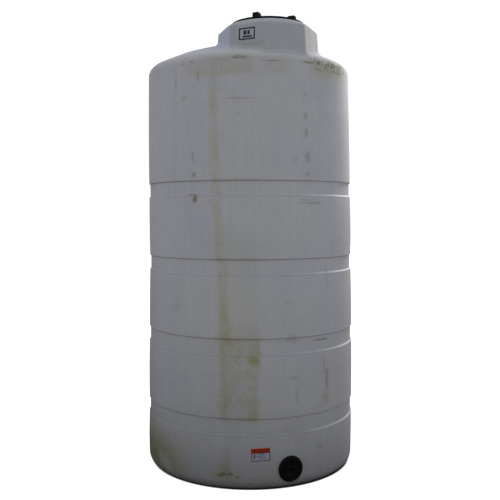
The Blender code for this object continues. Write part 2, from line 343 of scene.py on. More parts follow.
def with_bulge(points):
    """Swells each course a little between its bands."""
    feet = [0.0] + [band_edges(i)[1] for i in range(BAND_COUNT)]
    heads = [band_edges(i)[0] for i in range(BAND_COUNT)] + [BARREL_TOP]
    made = []
    for r, z in points:
        for foot, head in zip(feet, heads):
            if foot < z < head and r > RADIUS - 1e-4:
                t = (z - foot) / (head - foot)
                r = r + BULGE * 4.0 * t * (1.0 - t)
        made.append((r, z))
    return made


def inner_outline():
    """The barrel's inner side, from the bottom up to the roof."""
    inside = RADIUS - WALL
    points = [(0.004, WALL), (RADIUS - BASE_CORNER, WALL), (inside - 0.012, 0.02), (inside, BASE_CORNER)]
    for i in range(BAND_COUNT):
        low, high = band_edges(i)
        narrow = inside - BAND_DEPTH
        points += [(inside, low), (narrow, low + BAND_LEDGE), (narrow, high - BAND_LIP), (inside, high)]
    points.append((inside, BARREL_TOP))
    return held(points, 0.004, 0.15)


def octagon(apothem, corner, per_corner=7, per_side=9):
    """Points and outward normals of an octagon with round corners, about the turret's axis."""
    points, normals = [], []
    sector = FULL_TURN / 8.0
    for k in range(8):
        facing = FRONT_AZIMUTH + k * sector
        vertex = facing + sector / 2.0
        reach = (apothem - corner) / math.cos(sector / 2.0)
        centre = np.array([reach * math.sin(vertex), -reach * math.cos(vertex)])
        arc = []
        for i in range(per_corner):
            angle = facing + sector * i / (per_corner - 1)
            normal = np.array([math.sin(angle), -math.cos(angle)])
            arc.append((centre + corner * normal, normal))
        points += [p for p, _ in arc]
        normals += [n for _, n in arc]
        next_vertex = vertex + sector
        next_centre = np.array([reach * math.sin(next_vertex), -reach * math.cos(next_vertex)])
        end = arc[-1][0]
        start = next_centre + corner * arc[-1][1]
        for i in range(1, per_side + 1):
            t = i / (per_side + 1)
            ease = t * t * (3.0 - 2.0 * t)
            points.append(end + (start - end) * ease)
            normals.append(arc[-1][1])
    return np.array(points), np.array(normals)


TURRET_CENTRE = np.array([TURRET_OFFSET * math.sin(FRONT_AZIMUTH), -TURRET_OFFSET * math.cos(FRONT_AZIMUTH)])


def ring_at(points, heights):
    """Turret points as a ring in the row frame, at one height or at a height for each point."""
    placed = points + TURRET_CENTRE
    return np.column_stack([placed, np.broadcast_to(heights, len(placed))])


def circle_like(points, radius):
    """A circle whose points lie in the same directions as these."""
    return points / np.linalg.norm(points, axis=1)[:, None] * radius


def make_turret():
    """The octagonal turret, from the flare at its foot over its round crown and down its inner side."""
    middle, normals = octagon(TURRET_APOTHEM, TURRET_CORNER)

    def wall_at(heights, inset=0.0):
        out = TURRET_DRAFT * (TURRET_MID_HEIGHT - heights) - inset
        return middle + normals * np.reshape(np.broadcast_to(out, len(middle)), (-1, 1))

    foot_z = np.full(len(middle), 2.36)
    for _ in range(6):
        foot_z = roof_height(*(wall_at(foot_z) + TURRET_CENTRE).T)
    wall = wall_at(foot_z)
    placed = wall + TURRET_CENTRE
    room = RADIUS - 0.012 - np.hypot(*placed.T)
    flare = np.minimum(np.clip(room, 0.004, TURRET_FLARE), 0.45 * (TURRET_TOP - foot_z))
    outward = normals * flare[:, None]
    far_z = roof_height(*(placed + outward).T)
    beyond_z = roof_height(*(placed + outward + normals * 0.002).T)
    slope = (beyond_z - far_z) / 0.002
    lead = flare * 0.55
    rings = []
    for t in np.linspace(0.0, 1.0, 9):
        share = (1 - t) ** 3 + 3 * (1 - t) ** 2 * t * 0.45
        z = (
            (1 - t) ** 3 * far_z
            + 3 * (1 - t) ** 2 * t * (far_z - slope * lead)
            + 3 * (1 - t) * t**2 * (foot_z + flare - lead)
            + t**3 * (foot_z + flare)
        )
        lean = normals * (TURRET_DRAFT * np.minimum(0.0, foot_z - z))[:, None]
        rings.append(ring_at(wall + outward * share + lean, z))
    first = rings[0].copy()
    first[:, 2] -= 0.0015
    rings.insert(0, first)
    start = foot_z + flare
    shoulder = np.maximum(TURRET_SHOULDER, start + 0.0005)
    for t in (0.02, 0.2, 0.4, 0.6, 0.8, 0.98, 1.0):
        z = start + (shoulder - start) * t
        rings.append(ring_at(wall_at(z), z))
    top = wall_at(shoulder)
    crown = circle_like(top, TURRET_CROWN)
    for i in range(1, 15):
        angle = math.pi / 2.0 * i / 14.0
        inward = 1.0 - math.cos(angle) ** CROWN_POWER
        z = shoulder + (TURRET_TOP - shoulder) * math.sin(angle) ** CROWN_POWER
        rings.append(ring_at(top + (crown - top) * inward, z))
    drop = TURRET_TOP - TURRET_SHOULDER
    for radius in (0.2325, 0.229, 0.222, 0.206):
        rings.append(ring_at(circle_like(top, radius), TURRET_TOP))
    hole = circle_like(top, MANWAY_RADIUS)
    rings.append(ring_at(hole, TURRET_TOP - 0.001))
    rings.append(ring_at(hole, TURRET_TOP - WALL))
    inner = wall_at(TURRET_SHOULDER, WALL)
    inner_crown = circle_like(inner, TURRET_CROWN - WALL)
    rings.append(ring_at(inner_crown, TURRET_TOP - WALL))
    for i in range(1, 6):
        angle = math.pi / 2.0 * (1.0 - i / 5.0)
        inward = 1.0 - math.cos(angle) ** CROWN_POWER
        z = TURRET_SHOULDER + (drop - WALL) * math.sin(angle) ** CROWN_POWER
        rings.append(ring_at(inner + (inner_crown - inner) * inward, z))
    base = wall_at(foot_z, WALL)
    under_z = roof_height(*(base + TURRET_CENTRE).T, ROOF_UNDER)
    rings.append(ring_at(base, np.minimum(under_z + 0.03, TURRET_SHOULDER - 0.002)))
    rings.append(ring_at(base, under_z - 0.004))
    rings.append(ring_at(base + normals * 0.004, under_z - 0.004))
    return skin("turret_moulding", rings, caps=False, sharp=60.0)


def make_shell():
    """The barrel and the roof as one moulding, open under the turret and at the outlet."""
    outer = [tuple(p) for p in ROOF] + with_bulge(barrel_outline())
    inner = inner_outline() + [tuple(p) for p in ROOF_UNDER[::-4]]

    rings_profile = outer + inner
    azimuth = np.arange(BARREL_STEPS) * FULL_TURN / BARREL_STEPS
    rings = []
    for r, z in rings_profile:
        radius = r + warp(azimuth, r, z)
        rings.append(
            np.stack([radius * np.sin(azimuth), -radius * np.cos(azimuth), np.full(BARREL_STEPS, float(z))], 1)
        )
    outer_count = len(outer)
    count = BARREL_STEPS
    vertices = [p for ring in rings for p in ring]
    faces = []
    for i in range(len(rings) - 1):
        if i == outer_count - 1:
            continue
        for j in range(count):
            n = (j + 1) % count
            faces.append((i * count + j, (i + 1) * count + j, (i + 1) * count + n, i * count + n))
    for at, flip in ((0, False), (outer_count - 1, True), (outer_count, False), (len(rings) - 1, True)):
        vertices.append(np.mean(rings[at], axis=0))
        middle = len(vertices) - 1
        for j in range(count):
            a, b = at * count + j, at * count + (j + 1) % count
            faces.append((b, a, middle) if flip else (a, b, middle))
    shell = mesh_object("moulded_shell", vertices, faces)

    points, _ = octagon(TURRET_APOTHEM - 0.006, TURRET_CORNER)
    hole = skin("turret_hole", [ring_at(points, 2.2), ring_at(points, 2.7)])
    cut(shell, hole)
    bore = turned("outlet_hole", [(0.0385, 0.5), (0.0385, 0.7)], 48, place=outlet_frame())
    cut(shell, bore)
    return shell


def outlet_frame():
    """Puts a piece turned about Z on the outlet's axis. Its heights are distances from the tank's axis."""
    out = Vector((math.sin(FRONT_AZIMUTH), -math.cos(FRONT_AZIMUTH), 0.0))
    return Matrix.Translation((0.0, 0.0, OUTLET_HEIGHT)) @ out.to_track_quat("Z", "Y").to_matrix().to_4x4()


# Lid, ring and outlet

def lid_frame(turn=0.0):
    """Stands a piece on the turret's seat, turned to an azimuth."""
    at = Vector((*TURRET_CENTRE, SEAT))
    return Matrix.Translation(at) @ Matrix.Rotation(turn, 4, "Z")


def lid_slope(r):
    """Height of the lid's sloping top above the seat."""
    return LID_TOP + LID_CROWN * (1.0 - r / LID_RADIUS)


def threaded(azimuth, radius, height, outward):
    """Adds a thread's ridge to a turned wall. Outward is 1 on a spigot and -1 in a bore."""
    phase = np.mod(height / THREAD_PITCH - azimuth / FULL_TURN, 1.0)
    ridge = np.clip(1.6 - 4.0 * np.abs(phase - 0.5), 0.0, 1.0)
    return radius + outward * THREAD_HEIGHT * ridge


def make_ring():
    """The threaded ring in the turret's top, with a chamfered flange and a thread in its bore."""
    sleeve = MANWAY_RADIUS - 0.0003
    bore = [(RING_BORE, z) for z in np.linspace(-RING_DEPTH + 0.004, RING_FLANGE - 0.0025, 48)]
    profile = [(RING_BORE + 0.0015, -RING_DEPTH)] + bore
    profile += rounded(
        [
            (RING_BORE + 0.0008, RING_FLANGE - 0.0012),
            (RING_BORE + 0.002, RING_FLANGE),
            (RING_RADIUS, RING_FLANGE),
            (RING_RADIUS, 0.0003),
            (sleeve, 0.0003),
            (sleeve, -RING_DEPTH),
            (RING_BORE + 0.003, -RING_DEPTH),
        ],
        [0.001, 0.0015, 0.001, 0.0, 0.002],
    )

    def shape(azimuth, radius, height):
        if radius[0] > RING_BORE + 0.0001 or height > RING_FLANGE - 0.003:
            return radius
        return threaded(azimuth, radius, height, -1.0)

    return turned("manway_ring_moulding", profile, 192, caps=False, place=lid_frame(), shape=shape)


def make_gasket():
    """The flat gasket under the lid, with rounded edges and two fine sealing ribs."""
    head, foot = GASKET_HEAD, GASKET_FOOT
    profile = rounded(
        [
            (0.1974, foot + 0.0015),
            (0.1974, head - 0.0004),
            (0.1995, head - 0.0004),
            (0.2003, head),
            (0.2011, head - 0.0004),
            (0.2029, head - 0.0004),
            (0.2037, head),
            (0.2045, head - 0.0004),
            (0.2068, head - 0.0004),
            (0.2068, foot),
            (0.1974, foot),
        ],
        [0.0008, 0.0, 0.0003, 0.0, 0.0, 0.0003, 0.0, 0.0008, 0.0008],
    )
    return turned("lid_gasket", profile, 160, caps=False, place=lid_frame())


def make_cover():
    """The lid's disc with its knurled rim, raised beads and ribs, and the threaded spigot below it."""
    def top(r, above=0.0):
        return (r, lid_slope(r) + above)

    upper = [(0.003, lid_slope(0.034) + 0.0022), (0.034, lid_slope(0.034) + 0.0022)]
    upper += [top(0.038, 0.0022), top(0.041, 0.0), top(0.052), top(0.066), top(0.080), top(0.100)]
    upper += [top(0.120), top(0.140), top(0.158), top(0.174), top(0.1775, 0.0004)]
    upper += [top(0.179, 0.0022), top(0.1815, 0.0030), top(0.184, 0.0022), top(0.1855, 0.0004)]
    upper += [top(0.188), top(0.198), top(0.2070), top(0.2094, 0.0002), top(0.2104, -0.0004)]
    rim = [(LID_RADIUS, z) for z in np.linspace(LID_TOP - 0.0014, LID_FOOT + 0.0012, 4)]
    under = [(LID_RADIUS - 0.0012, LID_FOOT), (0.2072, LID_FOOT), (SPIGOT_RADIUS + 0.001, LID_FOOT)]
    spigot = [(SPIGOT_RADIUS, z) for z in np.linspace(LID_FOOT - 0.001, LID_FOOT - SPIGOT_DEPTH + 0.001, 40)]
    inside = [
        (SPIGOT_RADIUS - 0.0012, LID_FOOT - SPIGOT_DEPTH),
        (SPIGOT_BORE + 0.001, LID_FOOT - SPIGOT_DEPTH),
        (SPIGOT_BORE, LID_FOOT - SPIGOT_DEPTH + 0.001),
        (SPIGOT_BORE, LID_TOP - 0.008),
        (SPIGOT_BORE - 0.003, LID_TOP - 0.005),
        (0.12, lid_slope(0.12) - 0.005),
        (0.003, lid_slope(0.003) - 0.005),
    ]
    profile = upper + rim + under + spigot + inside
    first_spigot = len(upper + rim + under)
    steps = KNURLS * 6
    azimuth = np.arange(steps) * FULL_TURN / steps
    knurl = 0.0005 * (1.0 - np.cos(azimuth * KNURLS)) * 1.0
    rings = []
    for i, (r, z) in enumerate(profile):
        radius = np.full(steps, float(r))
        height = np.full(steps, float(z))
        if r > 0.2090:
            radius = radius - knurl
        if first_spigot <= i < first_spigot + len(spigot):
            radius = threaded(azimuth, radius, z, 1.0)
        if i < len(upper) and 0.05 < r < 0.1785:
            turn = azimuth - LUG_FIRST_AZIMUTH - math.pi / LUG_COUNT
            spacing = FULL_TURN / LUG_COUNT
            off = (np.mod(turn + spacing / 2.0, spacing) - spacing / 2.0) * r
            height = height + 0.0028 * np.clip(2.2 - np.abs(off) / 0.0022, 0.0, 1.0) * min(1.0, (r - 0.05) / 0.01)
        rings.append(np.stack([radius * np.sin(azimuth), -radius * np.cos(azimuth), height], 1))
    cover = skin("lid_cover", rings, sharp=35.0)
    cover.data.transform(lid_frame())
    return cover


def rounded_rectangle(half_length, half_width, radius, per_corner=5, per_side=10):
    """Points round a rectangle with round corners."""
    points = []
    for i, (sx, sy) in enumerate(((1, 1), (-1, 1), (-1, -1), (1, -1))):
        centre = np.array([sx * (half_length - radius), sy * (half_width - radius)])
        for j in range(per_corner):
            angle = math.pi / 2.0 * (i + j / (per_corner - 1))
            points.append(centre + radius * np.array([math.cos(angle), math.sin(angle)]))
        sx2, sy2 = ((-1, 1), (-1, -1), (1, -1), (1, 1))[i]
        following = np.array([sx2 * (half_length - radius), sy2 * (half_width - radius)])
        angle = math.pi / 2.0 * (i + 1)
        start, end = points[-1], following + radius * np.array([math.cos(angle), math.sin(angle)])
        points += [start + (end - start) * j / (per_side + 1) for j in range(1, per_side + 1)]
    return np.array(points)


def make_lug_moulding(index):
    """A drafted block to turn the lid by: filleted at its foot, with a shallow pocket in its top."""
    middle = LUG_REACH - LUG_LENGTH / 2.0
    half_length, half_width = LUG_LENGTH / 2.0, LUG_WIDTH / 2.0
    slope_end = LUG_REACH - LUG_FLAT
    slope_start = slope_end - LUG_RAMP

    def head(r):
        t = np.clip((r - slope_start) / (slope_end - slope_start), 0.0, 1.0)
        return LID_TOP + 0.0003 + LUG_INNER_HEIGHT + (LUG_HEIGHT - LUG_INNER_HEIGHT) * t * t * (3.0 - 2.0 * t)

    # (outset, share of the height, drop below the head)
    steps = [
        (0.0030, 0.0, 0.0), (0.0028, 0.010, 0.0), (0.0014, 0.035, 0.0), (0.0004, 0.08, 0.0),
        (0.0, 0.14, 0.0), (-0.0004, 0.40, 0.0), (-0.0008, 0.70, 0.0), (-0.0012, 1.0, 0.0028),
        (-0.0016, 1.0, 0.0012), (-0.0026, 1.0, 0.0003), (-0.0040, 1.0, 0.0), (-0.0066, 1.0, 0.0),
        (-0.0076, 1.0, 0.0005), (-0.0082, 1.0, 0.0026), (-0.0092, 1.0, 0.0032), (-0.0150, 1.0, 0.0032),
    ]
    rings = []
    for outset, share, drop in steps:
        corner = max(0.0012, 0.0042 + outset)
        flat = rounded_rectangle(half_length + outset, half_width + outset, corner)
        r = middle + flat[:, 0]
        base = lid_slope(r) + 0.0003
        z = base + (head(r) - base) * share - drop
        rings.append(np.column_stack([r, flat[:, 1], z]))
    lug = skin(f"lid_lug_moulding_{index + 1}", rings, sharp=35.0)
    azimuth = LUG_FIRST_AZIMUTH + FULL_TURN * index / LUG_COUNT
    lug.data.transform(lid_frame(azimuth - math.pi / 2.0))
    return lug


def make_vent():
    """The vent's cap in the middle of the lid, with a fluted side and a low button."""
    foot = LID_TOP + LID_CROWN + 0.0003
    profile = [(0.002, foot + 0.0118), (0.006, foot + 0.0116), (0.008, foot + 0.0105), (0.0105, foot + 0.0100)]
    profile += [(0.018, foot + 0.0098), (0.0215, foot + 0.0103), (0.024, foot + 0.0100), (0.0262, foot + 0.0088)]
    profile += [(0.0275, foot + 0.0070), (0.0288, foot + 0.0050), (0.0290, foot + 0.0022), (0.0300, foot + 0.0018)]
    profile += [(0.0300, foot), (0.002, foot)]

    def fluted(azimuth, radius, height):
        if not 0.0255 < radius[0] < 0.0295:
            return radius
        return radius - 0.0007 * (1.0 - np.cos(azimuth * 24.0))

    return turned("lid_vent_cap", profile, 144, place=lid_frame(), shape=fluted)


def fitting(name, profile, steps, caps=True, shape=None):
    """A piece turned about the outlet's axis. Its heights stand out from the back of the flange."""
    profile = [(r, h + OUTLET_BACK) for r, h in profile]
    return turned(name, profile, steps, caps=caps, place=outlet_frame(), shape=shape)


def make_flange():
    """The outlet's body: a chamfered flange with a raised ring and a hub, and its barrel inside."""
    end = OUTLET_END - OUTLET_BACK
    face = rounded(
        [
            (OUTLET_BORE, end),
            (OUTLET_BORE, 0.0082),
            (0.0425, 0.0082),
            (0.0435, 0.0100),
            (0.0500, 0.0100),
            (0.0515, 0.0128),
            (0.0585, 0.0128),
            (0.0610, 0.0115),
            (0.0680, 0.0060),
            (OUTLET_FLANGE, 0.0040),
            (OUTLET_FLANGE, 0.0),
            (OUTLET_BODY, 0.0),
            (OUTLET_BODY, end),
            (OUTLET_BORE, end),
        ],
        [0.0008, 0.0005, 0.0006, 0.0008, 0.0010, 0.0012, 0.0012, 0.0015, 0.0010, 0.0008, 0.0, 0.0008],
    )
    return fitting("outlet_flange", face[:-1], 128, caps=False)


def make_plug():
    """The plug's head over the bore, with a bead round its edge and a square socket in its middle."""
    plug = fitting(
        "outlet_plug_head",
        rounded(
            [
                (0.002, 0.0105),
                (0.0300, 0.0105),
                (0.0335, 0.0128),
                (0.0385, 0.0128),
                (0.0405, 0.0100),
                (0.0405, 0.0085),
                (0.0250, 0.0085),
                (0.0250, -0.0160),
                (0.002, -0.0160),
            ],
            [0.0010, 0.0010, 0.0015, 0.0008, 0.0, 0.0, 0.0008],
        ),
        96,
    )
    half = 0.011
    low, high = OUTLET_BACK + 0.0005, OUTLET_BACK + 0.03
    square = [(half, half), (-half, half), (-half, -half), (half, -half)]
    socket = skin("socket", [[(x, y, z) for x, y in square] for z in (low, high)])
    socket.data.transform(outlet_frame() @ Matrix.Rotation(math.radians(12.0), 4, "Z"))
    cut(plug, socket)
    plug.data.set_sharp_from_angle(angle=math.radians(35.0))
    return plug


# Labels

def make_label(name, across, tall, centre_at, pick, inks, cell=0.0011, lean=0.0):
    """A thin film that follows a surface. centre_at(u, v) gives a point and its normal there, and
    pick(u, v) the ink at a place, where u runs to the right and v up from the label's middle."""
    columns, rows = round(across / cell), round(tall / cell)
    form = bmesh.new()
    faces = []
    layers = []
    for depth in (0.0009, 0.0002):
        layer = []
        for j in range(rows + 1):
            for i in range(columns + 1):
                u, v = (i / columns - 0.5) * across, (j / rows - 0.5) * tall
                tilted_u = u * math.cos(lean) - v * math.sin(lean)
                tilted_v = u * math.sin(lean) + v * math.cos(lean)
                point, normal = centre_at(tilted_u, tilted_v)
                layer.append(form.verts.new(Vector(point) + Vector(normal) * depth))
        layers.append(layer)
    wide = columns + 1
    for j in range(rows):
        for i in range(columns):
            k = [j * wide + i, j * wide + i + 1, (j + 1) * wide + i + 1, (j + 1) * wide + i]
            face = form.faces.new([layers[0][n] for n in k])
            u, v = ((i + 0.5) / columns - 0.5) * across, ((j + 0.5) / rows - 0.5) * tall
            face.material_index = pick(u, v)
            faces.append(face)
            form.faces.new([layers[1][n] for n in reversed(k)])
    border = [j * wide for j in range(rows, -1, -1)]
    border += [i for i in range(1, wide)]
    border += [j * wide + columns for j in range(1, rows + 1)]
    border += [rows * wide + i for i in range(columns - 1, 0, -1)]
    for a, b in zip(border, border[1:] + border[:1]):
        form.faces.new((layers[0][a], layers[1][a], layers[1][b], layers[0][b]))
    bmesh.ops.recalc_face_normals(form, faces=form.faces)
    mesh = bpy.data.meshes.new(name)
    form.to_mesh(mesh)
    form.free()
    for ink in inks:
        mesh.materials.append(ink)
    mesh.shade_smooth()
    mesh.set_sharp_from_angle(angle=math.radians(40.0))
    obj = bpy.data.objects.new(name, mesh)
    bpy.context.scene.collection.objects.link(obj)
    return obj


def on_barrel(azimuth, height):
    """Places a label on the barrel's lowest course, which swells a little at mid height."""
    foot, head = 0.0, band_edges(0)[0]

    def place(u, v):
        z = height + v
        t = (z - foot) / (head - foot)
        radius = RADIUS + BULGE * 4.0 * t * (1.0 - t)
        angle = azimuth + u / RADIUS
        radius += float(out_of_true(angle, z))
        normal = (math.sin(angle), -math.cos(angle), 0.0)
        return (radius * normal[0], radius * normal[1], z), normal

    return place


def on_turret(side, along, height):
    """Places a label on one of the turret's drafted flats."""
    facing = FRONT_AZIMUTH + side * FULL_TURN / 8.0
    normal = np.array([math.sin(facing), -math.cos(facing)])
    right = np.array([math.cos(facing), math.sin(facing)])

    def place(u, v):
        z = height + v
        reach = TURRET_APOTHEM + TURRET_DRAFT * (TURRET_MID_HEIGHT - z)
        point = TURRET_CENTRE + normal * reach + right * (along + u)
        return (point[0], point[1], z), (normal[0], normal[1], TURRET_DRAFT)

    return place


def notice_ink(u, v):
    """The upper label: a dark frame round a white panel with two plain blocks above a bar."""
    if abs(u) > 0.0398 or abs(v) > 0.0256:
        return 1
    if abs(u - 0.003) < 0.029 and -0.0205 < v < -0.0110:
        return 1
    for at, half in ((-0.0115, 0.0085), (0.0100, 0.0075)):
        if abs(u - at) < half and abs(v - 0.0065) < 0.0125:
            return 1
    return 0


def rating_ink(u, v):
    """The lower label: a red band over a white panel in a thin dark border, with plain bars."""
    if v > 0.0305:
        return 5
    if v > 0.0095:
        return 1
    if abs(u) > 0.0460 or v < -0.0300 or v > 0.0070:
        return 2
    if -0.0375 < u < -0.0290 and -0.0215 < v < 0.0035:
        return 3
    for at, left, right in ((0.0010, -0.014, 0.020), (-0.0090, -0.020, 0.012), (-0.0190, -0.016, 0.024)):
        if abs(v - at) < 0.0030 and left < u < right:
            return 4
    return 0


# Materials

class Graph:
    """A material's nodes, built by calls that take numbers, colours or sockets."""

    def __init__(self, name, roughness=0.5):
        self.material = bpy.data.materials.new(name)
        self.material.use_nodes = True
        self.tree = self.material.node_tree
        self.shader = self.tree.nodes["Principled BSDF"]
        self.shader.inputs["Roughness"].default_value = roughness
        place = self.tree.nodes.new("ShaderNodeTexCoord")
        self.place = place.outputs["Object"]
        self.normal = place.outputs["Normal"]

    def add(self, kind, values, **settings):
        node = self.tree.nodes.new(kind)
        for key, value in settings.items():
            setattr(node, key, value)
        for key, value in values.items():
            self.set(node.inputs[key], value)
        return node

    def set(self, socket, value):
        if isinstance(value, bpy.types.NodeSocket):
            self.tree.links.new(value, socket)
        else:
            socket.default_value = value

    def math(self, operation, *values, clamp=False):
        node = self.add("ShaderNodeMath", dict(enumerate(values)), operation=operation, use_clamp=clamp)
        return node.outputs[0]

    def total(self, *values):
        result = values[0]
        for value in values[1:]:
            result = self.math("ADD", result, value)
        return result

    def product(self, *values):
        result = values[0]
        for value in values[1:]:
            result = self.math("MULTIPLY", result, value)
        return result

    def inverse(self, value):
        return self.math("SUBTRACT", 1.0, value)

    def split(self, vector):
        return self.add("ShaderNodeSeparateXYZ", {0: vector}).outputs

    def join(self, x, y, z=0.0):
        return self.add("ShaderNodeCombineXYZ", {0: x, 1: y, 2: z}).outputs[0]

    def noise(self, vector, scale, detail=4.0, roughness=0.55, distortion=0.0):
        node = self.add(
            "ShaderNodeTexNoise",
            {"Vector": vector, "Scale": scale, "Detail": detail, "Roughness": roughness,
             "Distortion": distortion},
        )
        return node.outputs[0]

    def remap(self, value, low, high, to_low=0.0, to_high=1.0):
        node = self.add(
            "ShaderNodeMapRange", {0: value, 1: low, 2: high, 3: to_low, 4: to_high},
            interpolation_type="SMOOTHSTEP",
        )
        return node.outputs[0]

    def window(self, value, low, high, soft):
        """1 between low and high, and 0 outside, with soft edges."""
        rise = self.remap(value, low - soft, low + soft)
        fall = self.remap(value, high - soft, high + soft, 1.0, 0.0)
        return self.product(rise, fall)

    def curve(self, value, stops):
        """A smooth scale of grey through (position, grey) stops."""
        node = self.add("ShaderNodeValToRGB", {0: value})
        node.color_ramp.interpolation = "B_SPLINE"
        elements = node.color_ramp.elements
        while len(elements) < len(stops):
            elements.new(0.5)
        for element, (position, grey) in zip(elements, stops):
            element.position = position
            element.color = (grey, grey, grey, 1.0)
        return node.outputs[0]

    def mix(self, factor, a, b, blend="MIX"):
        node = self.add("ShaderNodeMix", {0: factor, 6: a, 7: b}, data_type="RGBA", blend_type=blend)
        return node.outputs[2]

    def tint(self, colour, mask, by):
        """Multiplies the colour by another where the mask is 1."""
        return self.mix(mask, colour, (*by, 1.0), "MULTIPLY")

    def bump(self, height, distance, strength=1.0, normal=None):
        values = {"Strength": strength, "Distance": distance, "Height": height}
        if normal:
            values["Normal"] = normal
        return self.add("ShaderNodeBump", values).outputs[0]

    def finish(self, colour, roughness=None, normal=None):
        self.set(self.shader.inputs["Base Color"], colour)
        if roughness is not None:
            self.set(self.shader.inputs["Roughness"], roughness)
        if normal is not None:
            self.set(self.shader.inputs["Normal"], normal)
        return self.material


# The shell's stains as (azimuth, height, half width in degrees, half height in metres, strength, tint)
GREEN = (0.66, 0.70, 0.42)
OLIVE = (0.50, 0.50, 0.30)
BEIGE = (0.86, 0.82, 0.68)
BROWN = (0.58, 0.50, 0.38)
RUST = (0.80, 0.68, 0.56)
GREY = (0.72, 0.72, 0.72)

# Greys down the wall, and the path of the algae's run, as (height / 2.6, value)
WALL_FALL = [
    (0.0, 0.36), (0.03, 0.48), (0.09, 0.62), (0.17, 0.74), (0.31, 0.87), (0.48, 0.96), (0.85, 1.0), (1.0, 1.02),
]
RUN_PATH = [(0.0, 0.45), (0.28, 0.43), (0.40, 0.42), (0.52, 0.375), (0.65, 0.30), (0.88, 0.285)]

STAINS = [
    (-14.0, 0.082, 3.4, 0.016, 1.0, OLIVE),
    (-10.5, 0.088, 1.8, 0.012, 0.9, OLIVE),
    (-6.5, 0.074, 1.2, 0.009, 0.7, OLIVE),
    (-12.5, 0.150, 3.0, 0.090, 0.6, (0.80, 0.77, 0.58)),
    (-4.8, 2.306, 5.5, 0.012, 0.75, BROWN),
    (10.5, 2.289, 6.0, 0.0045, 0.8, BROWN),
    (32.0, 2.296, 4.5, 0.008, 0.8, BROWN),
    (29.8, 2.122, 1.2, 0.018, 0.5, GREY),
    (30.2, 2.001, 1.5, 0.028, 0.8, GREY),
    (30.4, 1.911, 1.7, 0.034, 1.0, GREY),
    (31.0, 1.778, 1.9, 0.034, 0.9, GREY),
    (30.8, 1.686, 1.3, 0.014, 0.7, GREY),
    (24.0, 1.760, 2.6, 0.030, 0.3, GREY),
    (-30.2, 1.780, 1.0, 0.045, 0.8, GREY),
    (-29.4, 1.686, 1.5, 0.016, 0.9, (0.62, 0.62, 0.52)),
    (-29.0, 1.553, 1.6, 0.026, 1.0, OLIVE),
    (-30.5, 1.575, 4.5, 0.006, 0.7, BROWN),
    (33.0, 1.530, 9.0, 0.009, 0.8, GREY),
    (30.5, 1.548, 5.0, 0.007, 0.6, GREY),
    (-4.8, 2.088, 8.5, 0.0065, 0.85, (0.80, 0.76, 0.66)),
    (44.0, 1.130, 1.6, 0.100, 0.35, GREY),
    (40.0, 0.780, 6.5, 0.007, 0.9, OLIVE),
    (21.5, 0.800, 3.6, 0.028, 0.45, GREY),
    (20.0, 1.000, 3.4, 0.022, 0.35, GREY),
    (-42.5, 0.960, 5.5, 0.030, 0.35, GREY),
    (1.5, 0.692, 3.4, 0.036, 0.9, (0.80, 0.81, 0.52)),
    (1.0, 0.400, 3.4, 0.040, 0.6, (0.84, 0.84, 0.60)),
    (43.6, 0.560, 1.7, 0.090, 0.9, RUST),
    (42.6, 0.455, 3.6, 0.040, 0.8, (0.82, 0.78, 0.62)),
    (41.5, 0.640, 1.2, 0.060, 0.6, RUST),
    (22.5, 0.590, 2.6, 0.016, 0.5, GREY),
    (24.0, 0.480, 1.2, 0.050, 0.4, GREY),
    (38.0, 0.200, 3.0, 0.024, 0.4, GREY),
    (0.5, 2.392, 8.0, 0.020, 0.6, BEIGE),
    (-41.5, 2.200, 1.2, 0.070, 0.7, GREY),
    (-35.9, 2.103, 1.8, 0.020, 0.7, (0.80, 0.78, 0.70)),
    (-31.0, 2.298, 1.4, 0.008, 0.9, BROWN),
    (-37.0, 2.290, 1.0, 0.006, 0.7, BROWN),
    (-27.0, 2.210, 1.0, 0.030, 0.6, GREY),
    (-12.0, 0.085, 10.0, 0.060, 0.7, (0.90, 0.87, 0.68)),
    (6.0, 0.060, 9.0, 0.030, 0.5, (0.90, 0.88, 0.72)),
]


